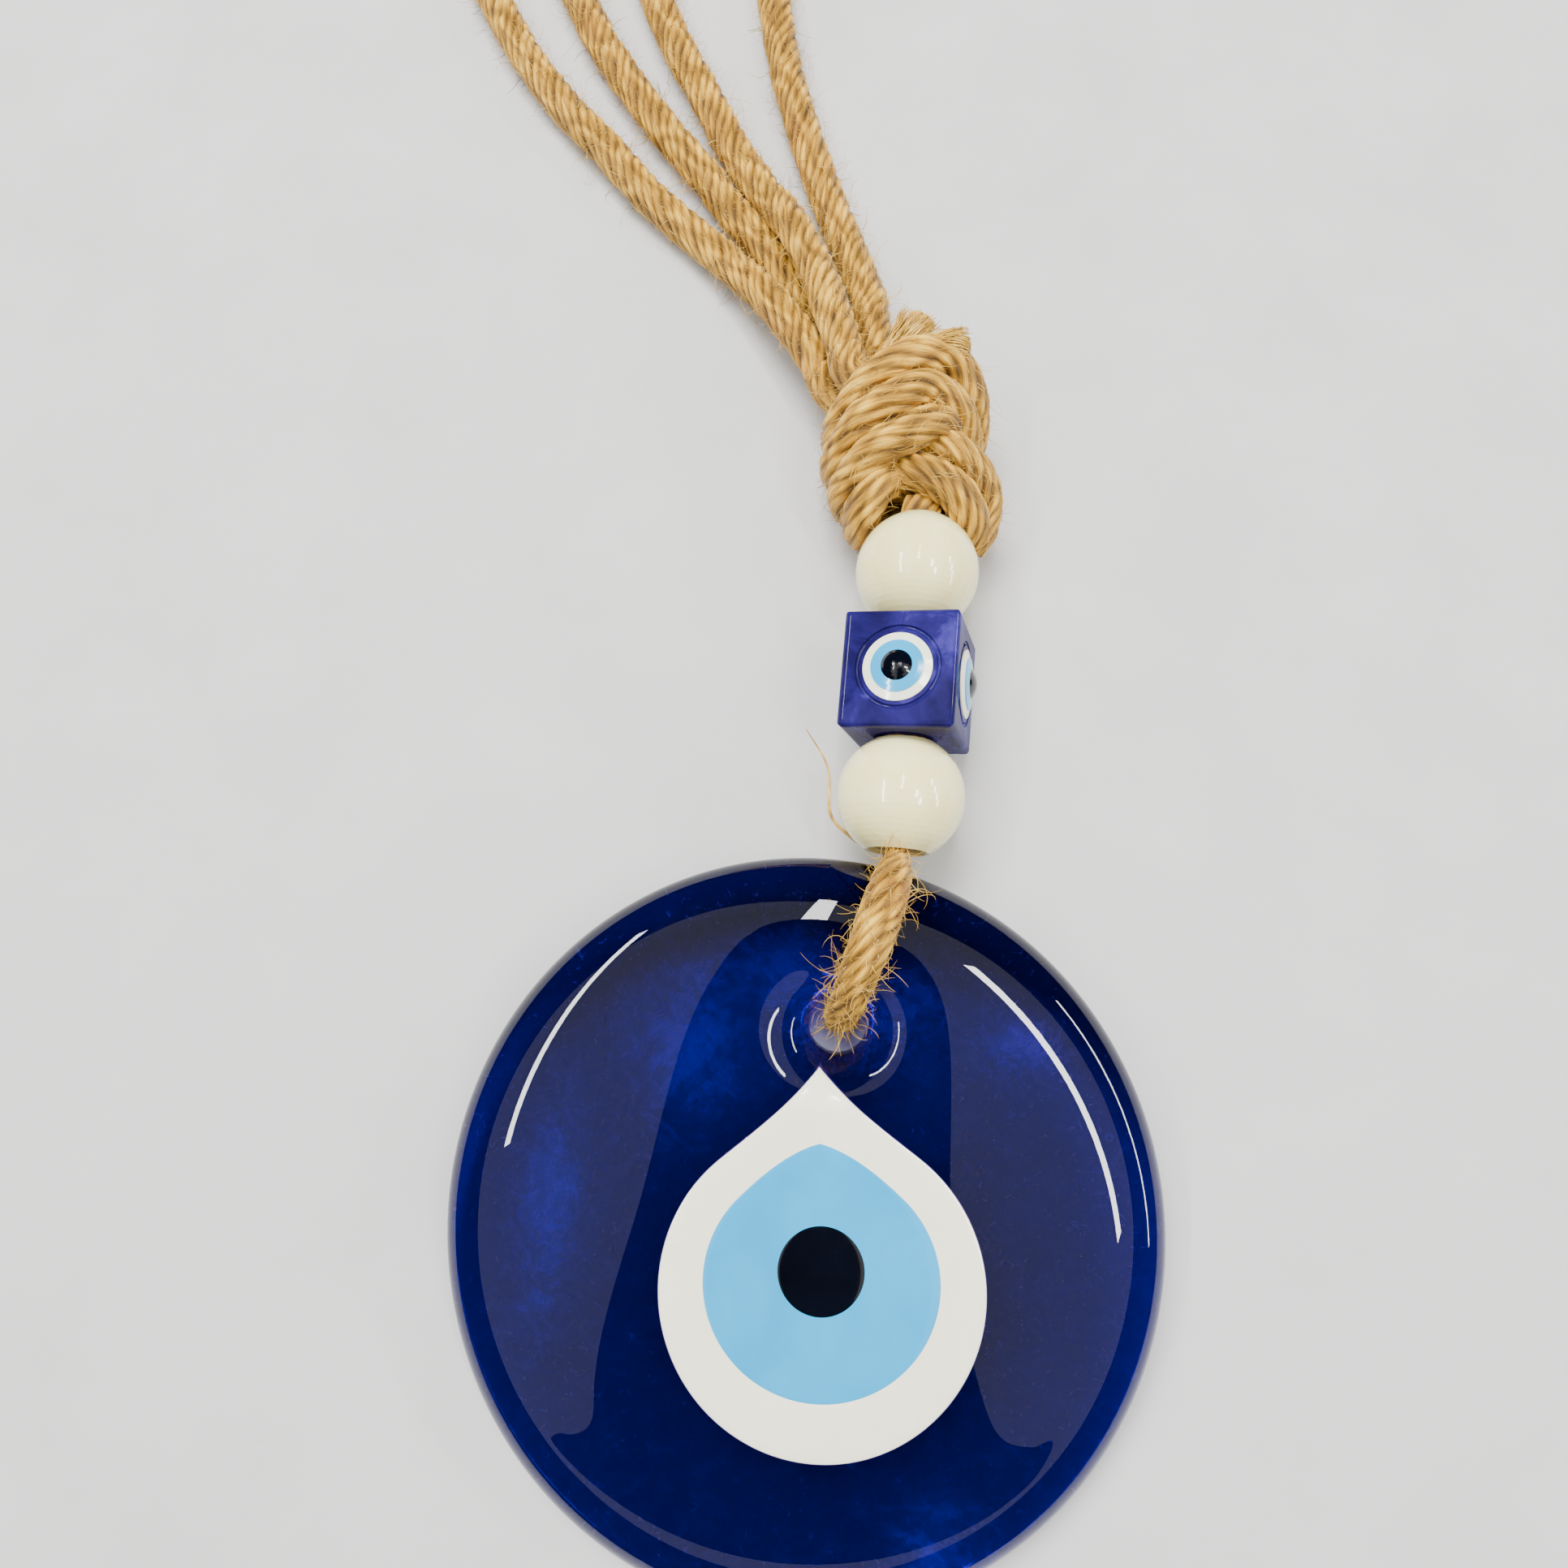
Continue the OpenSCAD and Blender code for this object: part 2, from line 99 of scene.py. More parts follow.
INNER_LOOP = [
    (-3.4, 115.2, 3.6), (-8, 121.8, 3.4), (-14.6, 132.3, 3.4), (-23, 142.9, 3.4),
    (-28.6, 148.6, 3.4), (-34.5, 155.9, 3.4), (-42, 164.1, 3.4), (-50, 173.6, 3.4),
    (-59, 185.6, 3.4), (-65, 196.1, 3.4), (-70.5, 206.6, 3.4), (-75, 217.1, 3.4),
    (-75.5, 225.1, 3.4), (-70.5, 230.6, 3.4), (-63, 230.1, 3.4), (-57.5, 224.6, 3.4),
    (-55.5, 216.6, 3.4), (-53, 207.1, 3.4), (-49.3, 196.6, 3.4), (-43, 184.3, 3.4),
    (-37, 174.6, 3.4), (-31, 164.1, 3.4), (-24, 153.6, 4.8), (-17.5, 143.6, 8.7),
    (-12.2, 133.6, 10.6), (-8.7, 124.6, 12.4), (-6.3, 118.1, 13.6), (-5, 114, 14),
]
KNOT_PASSES = [
    [(-5, 101.6, 6), (-4.6, 101.1, 12), (-0.5, 106.1, 17.5), (6, 110.2, 19.6),
     (12.5, 111.4, 18), (16.8, 107.6, 13.5), (17.4, 102.1, 7), (10, 100.6, 3.6)],
    [(-3.6, 95.1, 5), (-4.6, 95.2, 11), (-1.2, 99.2, 17.2), (4.4, 102.6, 20),
     (9.6, 104.8, 19.6), (14.6, 102.8, 16.4), (17, 98.1, 10)],
    [(-1.5, 88.6, 6), (-3, 89.6, 11), (0.6, 93.2, 17), (6, 96.4, 19.4),
     (11, 99.2, 18.8), (14, 100.1, 14)],
    [(9, 98.2, 14), (13.6, 96, 16.6), (18, 93.4, 14.8), (20.6, 90.2, 11),
     (20.4, 86.2, 8), (19, 84.2, 5.6)],
    [(5.6, 92.6, 14), (10, 91.2, 16.6), (14.4, 89, 16.6), (18, 86, 13.6), (19, 84, 9)],
    [(4.6, 92, 14), (2.4, 89, 15.4), (0.4, 85.8, 13.2), (0.2, 84, 9.6), (1, 84.2, 6)],
    [(-5, 100.6, 7), (0, 105.1, 3.8), (8, 107.6, 3.6), (14, 104.6, 5.4), (17, 99.6, 9)],
    [(-3, 91.6, 6), (3, 95.1, 3.6), (11, 96.6, 3.6), (18, 91.6, 6.4)],
    [(1, 86.6, 6), (6, 89.6, 3.6), (13, 89.6, 3.6), (18.4, 86.6, 6.4)],
    [(2, 101.6, 11), (8, 101.6, 11), (14, 101.6, 11)],
    [(3, 92.6, 11), (10.2, 91.6, 11.5), (16, 92.6, 11)],
    [(2, 107, 11), (-3, 108.6, 9), (-6.7, 110, 8), (-9.4, 114, 8.1)],
    [(2, 107, 12), (-1.5, 109, 14), (-3.9, 110.5, 14.2), (-5.1, 114.6, 14)],
    [(3, 109, 11), (2.4, 111.4, 10), (1.4, 113.2, 9.6), (0.5, 117.2, 9.2)],
    [(3, 108, 8), (0.6, 110.6, 5), (-1.3, 112.2, 3.8), (-3.9, 115.8, 3.6)],
]
CUT_END_A = [(3.2, 110.1, 14.5), (5.4, 115.2, 15.2), (7.8, 120.4, 15.4)]
CUT_END_B = [(7.4, 110.6, 18.4), (11.4, 112.8, 18.8), (15.6, 113.6, 18.4)]
STRAY_FIBRE = [
    (5.9, 28.3, 9), (2.8, 30.2, 8.6), (-0.9, 33.8, 8), (-2, 41.6, 8), (-6.2, 47.9, 8),
]

# ---------------------------------------------------------------- rope and fibre meshes


def curve_at(a, b, c, d, t):
    """Catmull-Rom curve between b and c."""
    return 0.5 * (
        2 * b + (c - a) * t + (2 * a - 5 * b + 4 * c - d) * t * t
        + (3 * b - a - 3 * c + d) * t * t * t
    )


def resample(route, step, radius=ROPE_R):
    """Evenly spaced points along a route, the radius at each, and the arc length to each."""
    p = np.array([tuple(q) + (radius,) * (4 - len(q)) for q in route], float)
    ends = np.vstack([p[:1], p, p[-1:]])
    t = np.linspace(0, 1, 24, endpoint=False)[:, None]
    fine = [curve_at(*ends[i:i + 4], t) for i in range(len(p) - 1)]
    fine = np.vstack(fine + [p[-1:]])
    arc = np.concatenate([[0], np.cumsum(np.linalg.norm(np.diff(fine[:, :3], axis=0), axis=1))])
    count = max(4, int(round(arc[-1] / step)) + 1)
    at = np.linspace(0, arc[-1], count)
    even = np.array([np.interp(at, arc, fine[:, k]) for k in range(4)]).T
    return even[:, :3], even[:, 3], at


def along_frame(points):
    """Tangent and two cross directions at each point, turned as little as possible."""
    tangent = np.gradient(points, axis=0)
    tangent /= np.linalg.norm(tangent, axis=1)[:, None]
    side = np.cross(tangent[0], (0.31, 0.2, 0.93))
    sides = []
    for t in tangent:
        side = side - t * (side @ t)
        side /= np.linalg.norm(side)
        sides.append(side)
    side = np.array(sides)
    return tangent, side, np.cross(tangent, side)


def value_noise(u, v, seed, wrap):
    """Smooth noise from -1 to 1 on a grid, repeating in v after wrap cells."""
    rows = 997
    table = np.random.default_rng(seed).uniform(-1, 1, (rows, wrap))
    iu, iv = np.floor(u).astype(int), np.floor(v).astype(int)
    fu, fv = u - iu, v - iv
    fu, fv = fu * fu * (3 - 2 * fu), fv * fv * (3 - 2 * fv)
    a, b = iu % rows, (iu + 1) % rows
    c, d = iv % wrap, (iv + 1) % wrap
    low = table[a, c] * (1 - fu) + table[b, c] * fu
    high = table[a, d] * (1 - fu) + table[b, d] * fu
    return low * (1 - fv) + high * fv


def new_object(name, vertices, faces, material, smooth=True):
    """A mesh object from vertices in mm."""
    mesh = bpy.data.meshes.new(name)
    mesh.from_pydata((np.asarray(vertices) * MM).tolist(), [], faces)
    mesh.materials.append(material)
    if smooth:
        mesh.shade_smooth()
    piece = bpy.data.objects.new(name, mesh)
    bpy.context.scene.collection.objects.link(piece)
    return piece


def ridges(angle, count):
    """Round ridges side by side: 1 on a crest and 0 in a groove."""
    bow, span, low = 1.9, 0.69, 0.45
    across = (angle * count / TAU) % 1 - 0.5
    return np.sqrt(1 - (bow * across) ** 2) / span - low


# Corners round a rope, the step between its rings, fibres side by side round it, and their slant.
SIDES, STEP, FIBRES, SLANT = 84, 0.45, 44, 0.45
# Lengths along a rope over which its plies, its yarns and the place of its grains drift.
PLY_DRIFT, YARN_DRIFT, GRAIN_DRIFT = 11, 3.5, 6
# Lengths along a rope of its grains, lumps, swellings, fibres and finer fibres.
GRAIN, LUMP, SWELL, FIBRE, FINE = 5.2, 2.1, 5, 2.4, 1.1


def rope_surface(s, around, lay, seed, relief, radius):
    """Share of the radius, roughness and painted shading of a laid rope at a length s and an angle
    around.
    """
    turns = around / TAU
    loose = 0.16 * value_noise(s / PLY_DRIFT, PLIES * turns, seed + 1, PLIES)
    stray = 0.12 * value_noise(s / YARN_DRIFT, YARNS * turns, seed + 4, YARNS)
    angle = around - TAU * s / lay + loose
    yarn, ply = ridges(angle + stray, YARNS), ridges(angle, PLIES)
    groove = 0.7 * (1 - yarn) + 0.3 * (1 - ply)
    which = (angle + stray) / TAU * YARNS
    drift = 0.5 * value_noise(s / GRAIN_DRIFT, YARNS * turns, seed + 7, YARNS)
    grains = np.cos(TAU * (s / GRAIN + 0.37 * np.floor(which) + 0.3 * (which % 1) + drift))
    lump = 0.7 * grains + 0.4 * value_noise(s / LUMP, which, seed + 6, YARNS)
    swell = value_noise(s / SWELL, 4 * turns, seed + 5, 4)
    across = turns * FIBRES - SLANT * s * FIBRES / (TAU * radius)
    fibre = value_noise(s / FIBRE, across, seed + 2, FIBRES)
    fine = value_noise(s / FINE, across * 2, seed + 3, 2 * FIBRES)
    share = 1.02 - relief * groove + 0.035 * lump + 0.02 * swell
    # Painted shading: painted shade in the grooves between yarns and plies, painted highlights on
    # the lumps of the grains.
    painted_shading = np.clip(0.24 + (0.6 + 1.8 * relief) * groove - 0.31 * lump, 0, 1)
    return share, fibre + 0.5 * fine - 0.6, painted_shading


def rope_parts(route, lay, seed, relief=0.22, roughness=0.09, radius=ROPE_R):
    """Vertices, faces, coordinates along the fibres, painted shading and ring centres of a laid
    rope.
    """
    points, radii, arc = resample(route, STEP, radius)
    _, side, up = along_frame(points)
    theta = np.arange(SIDES) * TAU / SIDES
    s = arc[:, None] + 0 * theta
    around = theta + 0 * s
    share, rough, painted_shading = rope_surface(s, around, lay, seed, relief, radius)
    r = radii[:, None] * share + roughness * rough
    out = np.cos(around)[..., None] * side[:, None] + np.sin(around)[..., None] * up[:, None]
    ring = points[:, None] + r[..., None] * out
    ring[..., 2] = np.maximum(ring[..., 2], ABOVE_TABLE)
    vertices = np.vstack([ring.reshape(-1, 3), points[:1], points[-1:]])
    n = len(points)
    i, k = np.meshgrid(np.arange(n - 1), np.arange(SIDES), indexing="ij")
    nxt = (k + 1) % SIDES
    quads = np.stack(
        [i * SIDES + k, i * SIDES + nxt, (i + 1) * SIDES + nxt, (i + 1) * SIDES + k], axis=-1
    ).reshape(-1, 4)
    first = [(n * SIDES, (k + 1) % SIDES, k) for k in range(SIDES)]
    start = (n - 1) * SIDES
    last = [(n * SIDES + 1, start + k, start + (k + 1) % SIDES) for k in range(SIDES)]
    u = np.stack([arc[i], arc[i], arc[i + 1], arc[i + 1]], axis=-1).reshape(-1)
    v = np.stack([k, k + 1, k + 1, k], axis=-1).reshape(-1) * TAU * radius / SIDES
    uv = np.concatenate([np.stack([u, v - SLANT * u], axis=-1), np.zeros((6 * SIDES, 2))])
    # The two end-cap middles get the darkest painted shade.
    painted_shadings = np.concatenate([painted_shading.reshape(-1), [1, 1]])
    return vertices, quads.tolist() + first + last, uv, painted_shadings, points


def join_parts(parts):
    """Several rope_parts() results as one."""
    vertices, faces, uv, painted_shadings, start = [], [], [], [], 0
    for part in parts:
        vertices.append(part[0])
        faces += [tuple(start + i for i in face) for face in part[1]]
        uv.append(part[2])
        painted_shadings.append(part[3])
        start += len(part[0])
    return np.vstack(vertices), faces, np.vstack(uv), np.concatenate(painted_shadings)


def rope_object(name, parts, material):
    """A rope mesh with its coordinates along the fibres and its painted shading, dark in the
    grooves.
    """
    vertices, faces, uv, painted_shadings = join_parts(parts)
    piece = new_object(name, vertices, faces, material)
    layer = piece.data.uv_layers.new(name="fibres")
    layer.data.foreach_set("uv", (uv * MM).astype(np.float32).reshape(-1))
    attribute = piece.data.attributes.new("painted_shading", "FLOAT", "POINT")
    attribute.data.foreach_set("value", painted_shadings.astype(np.float32))
    return piece


def fibre_tubes(lines, radii, sides=3):
    """Closed tapering tubes along many lines of the same number of points."""
    count, n = lines.shape[:2]
    tangent = np.gradient(lines, axis=1)
    tangent /= np.linalg.norm(tangent, axis=2)[..., None] + 1e-9
    side = np.cross(tangent, np.array([0.21, 0.35, 0.91]))
    side /= np.linalg.norm(side, axis=2)[..., None] + 1e-9
    up = np.cross(tangent, side)
    theta = np.arange(sides) * TAU / sides
    taper = 1 - 0.75 * np.linspace(0, 1, n) ** 2
    r = (radii[:, None] * taper)[..., None, None]
    ring = lines[:, :, None] + r * (
        np.cos(theta)[:, None] * side[:, :, None] + np.sin(theta)[:, None] * up[:, :, None]
    )
    ring[..., 2] = np.maximum(ring[..., 2], ABOVE_TABLE)
    h, i, k = np.meshgrid(np.arange(count), np.arange(n - 1), np.arange(sides), indexing="ij")
    base = h * n * sides
    nxt = (k + 1) % sides
    quads = np.stack(
        [base + i * sides + k, base + i * sides + nxt,
         base + (i + 1) * sides + nxt, base + (i + 1) * sides + k], axis=-1
    ).reshape(-1, 4).tolist()
    caps = []
    for h in range(count):
        start, end = h * n * sides, (h + 1) * n * sides
        caps.append(tuple(range(start + sides - 1, start - 1, -1)))
        caps.append(tuple(range(end - sides, end)))
    return ring.reshape(-1, 3), quads + caps


def curled(starts, directions, lengths, curl, rng):
    """Lines that set off from starts and turn steadily, each about its own axis."""
    count, steps = len(starts), 7
    axis = rng.normal(size=(count, 3))
    axis -= directions * np.sum(axis * directions, axis=1)[:, None]
    axis /= np.linalg.norm(axis, axis=1)[:, None]
    turn = rng.uniform(0.2, 1, count) * curl / steps
    line, heading = [starts], directions
    for _ in range(steps):
        c, s = np.cos(turn)[:, None], np.sin(turn)[:, None]
        heading = (
            heading * c + np.cross(axis, heading) * s
            + axis * np.sum(axis * heading, axis=1)[:, None] * (1 - c)
        )
        line.append(line[-1] + heading * (lengths / steps)[:, None])
    return np.stack(line, axis=1)


def hair_lines(route, per_mm, longest, seed, stand=0.75, curl=2.6, bare=0.5):
    """Loose fibres that stand off a rope, but for a bare length at each end."""
    rng = np.random.default_rng(seed)
    step, root, shortest = 0.5, 0.86, 0.9
    points, radii, arc = resample(route, step)
    tangent, side, up = along_frame(points)
    count = int(per_mm * arc[-1])
    skip = int(bare / step)
    i = rng.integers(skip, len(points) - skip, count)
    theta = rng.uniform(0, TAU, count)
    out = np.cos(theta)[:, None] * side[i] + np.sin(theta)[:, None] * up[i]
    starts = points[i] + out * (root * radii[i])[:, None]
    way = rng.choice([-1, 1], count)[:, None]
    lean = rng.uniform(0.15, 1, count)[:, None] * stand
    directions = out * lean + tangent[i] * way * 0.8 + 0.3 * rng.normal(size=(count, 3))
    directions /= np.linalg.norm(directions, axis=1)[:, None]
    lengths = shortest + (longest - shortest) * rng.uniform(0, 1, count) ** 3
    return curled(starts, directions, lengths, curl, rng)


def hair_object(name, lines, seed, material, thin=0.035, thick=0.07):
    """All hairs of one stretch as one piece."""
    radii = np.random.default_rng(seed).uniform(thin, thick, len(lines))
    return new_object(name, *fibre_tubes(lines, radii), material)


def tuft_lines(route, count, spread, seed, radius):
    """Fibres side by side along a route, fanning out and ending raggedly at its far end."""
    rng = np.random.default_rng(seed)
    steps, ragged, twist, wander = 12, 2.2, 0.9, 0.12
    points, _, arc = resample(route, 0.2)
    _, side, up = along_frame(points)
    where = radius * np.sqrt(rng.uniform(0, 1, count))
    theta = rng.uniform(0, TAU, count)
    reach = arc[-1] - ragged * rng.uniform(0, 1, count) ** 1.5
    lines = []
    for step in range(steps):
        t = step / (steps - 1)
        i = np.clip((t * reach / arc[-1] * (len(points) - 1)).astype(int), 0, len(points) - 1)
        turn = theta + twist * t
        r = where * (1 + spread * t ** 2)
        out = np.cos(turn)[:, None] * side[i] + np.sin(turn)[:, None] * up[i]
        wave = wander * rng.normal(size=(count, 3)) * t
        lines.append(points[i] + out * r[:, None] + wave)
    return np.stack(lines, axis=1)


# ---------------------------------------------------------------- materials


def material(name, **values):
    """A material with values set on the shader's own sockets. Returns it with its nodes."""
    made = bpy.data.materials.new(name)
    made.use_nodes = True
    shader = made.node_tree.nodes["Principled BSDF"]
    for socket, value in values.items():
        shader.inputs[socket.replace("_", " ")].default_value = value
    return made, made.node_tree, shader


def node(tree, kind, **settings):
    """A shader node with its settings, where a name of a socket sets that socket."""
    made = tree.nodes.new("ShaderNode" + kind)
    for key, value in settings.items():
        if hasattr(made, key):
            setattr(made, key, value)
        else:
            made.inputs[key.replace("_", " ")].default_value = value
    return made


def ramp(tree, source, stops):
    """A colour ramp from (position, colour) stops."""
    made = tree.nodes.new("ShaderNodeValToRGB")
    elements = made.color_ramp.elements
    while len(elements) < len(stops):
        elements.new(0.5)
    for element, (position, colour) in zip(elements, stops):
        element.position = position
        element.color = (*colour, 1)
    tree.links.new(source, made.inputs["Fac"])
    return made.outputs["Color"]


def mixed(tree, a, b, amount, kind="MIX"):
    """Two colours mixed, where each of a, b and amount is an output or a value."""
    made = tree.nodes.new("ShaderNodeMix")
    made.data_type = "RGBA"
    made.blend_type = kind
    factor, first, second, result = 0, 6, 7, 2  # the sockets of a colour mix
    for place, value in ((factor, amount), (first, a), (second, b)):
        socket = made.inputs[place]
        if hasattr(value, "links"):
            tree.links.new(value, socket)
        else:
            socket.default_value = value if not isinstance(value, tuple) else (*value, 1)
    return made.outputs[result]


def stretched(tree, source, scale):
    """Coordinates scaled along each axis."""
    made = node(tree, "Mapping", vector_type="POINT")
    made.inputs["Scale"].default_value = scale
    tree.links.new(source, made.inputs["Vector"])
    return made.outputs["Vector"]


def noise(tree, vector, scale, detail=3.0, roughness=0.55, distortion=0.0):
    """Noise on given coordinates."""
    made = node(tree, "TexNoise", Scale=scale, Detail=detail, Roughness=roughness,
                Distortion=distortion)
    tree.links.new(vector, made.inputs["Vector"])
    return made.outputs["Fac"]


def bumped(tree, shader, height, distance, strength):
    """Bump on a shader, with distance in metres."""
    made = node(tree, "Bump", Distance=distance, Strength=strength)
    tree.links.new(height, made.inputs["Height"])
    tree.links.new(made.outputs["Normal"], shader.inputs["Normal"])


def absorbing(tree, colour, density):
    """Makes a material's inside absorb light, with density per metre."""
    absorb = node(tree, "VolumeAbsorption", Color=(*colour, 1), Density=density)
    tree.links.new(absorb.outputs["Volume"], tree.nodes["Material Output"].inputs["Volume"])


def jute_rope():
    """Golden jute with painted shade between the plies and painted highlights on the grains, with
    fine fibres along its own coordinates.
    """
    made, tree, shader = material(
        "jute_rope", Roughness=0.55, Specular_IOR_Level=0.5, Sheen_Weight=0.2,
        Sheen_Roughness=0.5, Sheen_Tint=(1.0, 0.86, 0.6, 1.0)
    )
    uv = node(tree, "UVMap", uv_map="fibres").outputs["UV"]
    fibres = noise(tree, stretched(tree, uv, (200, 2400, 1)), 1.0, 4.0, 0.65)
    strands = noise(tree, stretched(tree, uv, (150, 1000, 1)), 1.0, 2.0, 0.5)
    patches = noise(tree, node(tree, "TexCoord").outputs["Object"], 60.0, 3.0, 0.6)
    painted_shading = node(tree, "Attribute", attribute_name="painted_shading").outputs["Fac"]
    # Colour from the painted shading: a painted highlight at 0 on the crests, painted shade at 1 in
    # the grooves.
    yarn = ramp(tree, painted_shading, [(0.0, (1.0, 0.64, 0.085)), (0.3, (0.80, 0.425, 0.02)),
                             (0.6, (0.43, 0.215, 0.008)), (1.0, (0.15, 0.07, 0.003))])
    fine = ramp(tree, fibres, [(0.32, (0.42, 0.38, 0.28)), (0.5, (0.84, 0.81, 0.72)),
                               (0.66, (1, 1, 1))])
    rusty = ramp(tree, patches, [(0.57, (0, 0, 0)), (0.78, (0.35, 0.35, 0.35))])
    dull = ramp(tree, strands, [(0.38, (0.8, 0.8, 0.8)), (0.56, (0, 0, 0))])
    colour = mixed(tree, yarn, fine, 1.0, "MULTIPLY")
    colour = mixed(tree, colour, (0.72, 0.24, 0.012), rusty)
    colour = mixed(tree, colour, (0.46, 0.40, 0.28), dull, "MULTIPLY")
    tree.links.new(colour, shader.inputs["Base Color"])
    bumped(tree, shader, fibres, 0.00022, 0.9)
    return made


def jute_hair():
    """Single jute fibres, paler than the rope."""
    made, tree, shader = material("jute_hair", Roughness=0.5, Specular_IOR_Level=0.5)
    patches = noise(tree, node(tree, "TexCoord").outputs["Object"], 300.0)
    colour = ramp(tree, patches, [(0.3, (0.30, 0.16, 0.02)), (0.5, (0.62, 0.37, 0.06)),
                                  (0.7, (0.95, 0.66, 0.20))])
    tree.links.new(colour, shader.inputs["Base Color"])
    return made


def near(tree, where, middle, size):
    """1 at a place in the object's own metres, fading to 0 at a size away along each axis."""
    made = node(tree, "Mapping", vector_type="POINT")
    scale = [1 / side for side in size]
    made.inputs["Scale"].default_value = scale
    made.inputs["Location"].default_value = [-m * k for m, k in zip(middle, scale)]
    tree.links.new(where, made.inputs["Vector"])
    ball = node(tree, "TexGradient", gradient_type="SPHERICAL")
    tree.links.new(made.outputs["Vector"], ball.inputs["Vector"])
    return ball.outputs["Fac"]


def combined(tree, kind, a, b):
    """A math node on two outputs or values."""
    made = node(tree, "Math", operation=kind)
    for socket, value in zip(made.inputs, (a, b)):
        if hasattr(value, "links"):
            tree.links.new(value, socket)
        else:
            socket.default_value = value
    return made.outputs["Value"]


# Places in the disc, each as its middle and how far it reaches along each axis.
WISPS = [
    ((-0.020, -0.004, 0.01), (0.015, 0.024, 0.05)),
    ((-0.006, 0.009, 0.01), (0.017, 0.012, 0.05)),
    ((0.013, 0.004, 0.01), (0.010, 0.013, 0.05)),
    ((-0.039, -0.030, 0.01), (0.008, 0.026, 0.05)),
    ((0.031, 0.000, 0.01), (0.012, 0.008, 0.05)),
    ((0.024, -0.076, 0.01), (0.012, 0.016, 0.05)),
]
# A painted glow of light round the hole's mouth, as its middle and how far it reaches along each
# axis.
MOUTH_PAINTED_GLOW = [((0.003, 0.002, 0.01), (0.013, 0.013, 0.05))]
# Where the painted shade of the rim begins: its middle and reach, outside which the glass is painted
# darker.
RIM_SHADE_BOUNDS = ((0.001, -0.0405, 0.01), (0.063, 0.0585, 0.1))


def anywhere(tree, where, places):
    """1 in the middle of any of some places, fading to 0 at their edges."""
    found = 0.0
    for middle, size in places:
        found = combined(tree, "MAXIMUM", near(tree, where, middle, size), found)
    return found


def cobalt_glass():
    """Clear cobalt glass with wisps of brighter blue, painted sparkle with a painted glow round the
    mouth, and painted shade at the rim.
    """
    made, tree, shader = material(
        "cobalt_glass", Roughness=0.01, IOR=1.5, Transmission_Weight=1.0, Coat_Weight=0.0
    )
    where = node(tree, "TexCoord").outputs["Object"]
    streaks = noise(tree, where, 130.0, 8.0, 0.70, 2.2)
    lifted = combined(tree, "MULTIPLY", anywhere(tree, where, WISPS), 0.34)
    wisps = combined(tree, "SUBTRACT", combined(tree, "ADD", streaks, lifted), 0.17)
    body = ramp(tree, wisps, [(0.36, (0.12, 0.05, 0.48)), (0.52, (0.22, 0.08, 0.62)),
                              (0.58, (0.50, 0.10, 1.0)), (0.64, (0.9, 0.3, 1.0))])
    # Painted shade: the glass's colour darkens towards the rim.
    rim = ramp(tree, near(tree, where, *RIM_SHADE_BOUNDS), [(0.02, (0.14, 0.16, 0.28)),
                                                      (0.13, (1, 1, 1))])
    colour = mixed(tree, body, rim, 1.0, "MULTIPLY")
    # Painted sparkle: specks of brighter blue, with a painted glow of light round the hole's mouth.
    painted_glow = combined(tree, "MULTIPLY", anywhere(tree, where, MOUTH_PAINTED_GLOW), 0.32)
    painted_sparks = combined(tree, "ADD", noise(tree, where, 420.0, 4.0, 0.6, 2.0), painted_glow)
    painted_sparkle_mask = ramp(tree, painted_sparks, [(0.64, (0, 0, 0)), (0.70, (1, 1, 1))])
    colour = mixed(tree, colour, (0.7, 0.3, 1.0), painted_sparkle_mask)
    tree.links.new(colour, shader.inputs["Base Color"])
    absorbing(tree, (0.22, 0.02, 0.87), 320.0)
    return made


def cube_glass():
    """Darker, cloudy blue glass that lets little light through."""
    made, tree, shader = material(
        "cube_glass", Roughness=0.05, IOR=1.45, Specular_IOR_Level=0.0, Transmission_Weight=0.18,
        Coat_Weight=0.22, Coat_Roughness=0.02
    )
    where = node(tree, "TexCoord").outputs["Object"]
    clouds = noise(tree, where, 120.0, 4.0, 0.6, 0.8)
    colour = ramp(tree, clouds, [(0.35, (0.010, 0.007, 0.06)), (0.55, (0.022, 0.015, 0.14)),
                                 (0.72, (0.08, 0.06, 0.36))])
    tree.links.new(colour, shader.inputs["Base Color"])
    absorbing(tree, (0.20, 0.06, 0.80), 450.0)
    return made


def opaque_glass(name, dark, light, scale, subsurface=0.0):
    """Opaque coloured glass with a faint swirl, glossy."""
    made, tree, shader = material(
        name, Roughness=0.12, IOR=1.5, Coat_Weight=0.6, Coat_Roughness=0.03,
        Subsurface_Weight=subsurface, Subsurface_Scale=0.002
    )
    where = node(tree, "TexCoord").outputs["Object"]
    swirl = noise(tree, where, scale, 3.0, 0.5, 1.5)
    tree.links.new(ramp(tree, swirl, [(0.35, dark), (0.65, light)]), shader.inputs["Base Color"])
    bumped(tree, shader, noise(tree, where, 4 * scale), 0.0001, 0.15)
    return made


ROPE = jute_rope()
HAIR = jute_hair()
COBALT = cobalt_glass()
CUBE = cube_glass()
WHITE = opaque_glass("opal_white", (0.91, 0.87, 0.68), (0.95, 0.92, 0.75), 70.0, 0.15)
BLUE = opaque_glass("sky_blue", (0.0, 0.31, 0.62), (0.0, 0.36, 0.70), 45.0)
DARK = opaque_glass("near_black", (0.0006, 0.0010, 0.0035), (0.0012, 0.0020, 0.006), 60.0)
BEAD = opaque_glass("bead_white", (0.93, 0.84, 0.38), (0.97, 0.90, 0.47), 110.0, 0.25)

# ---------------------------------------------------------------- cords


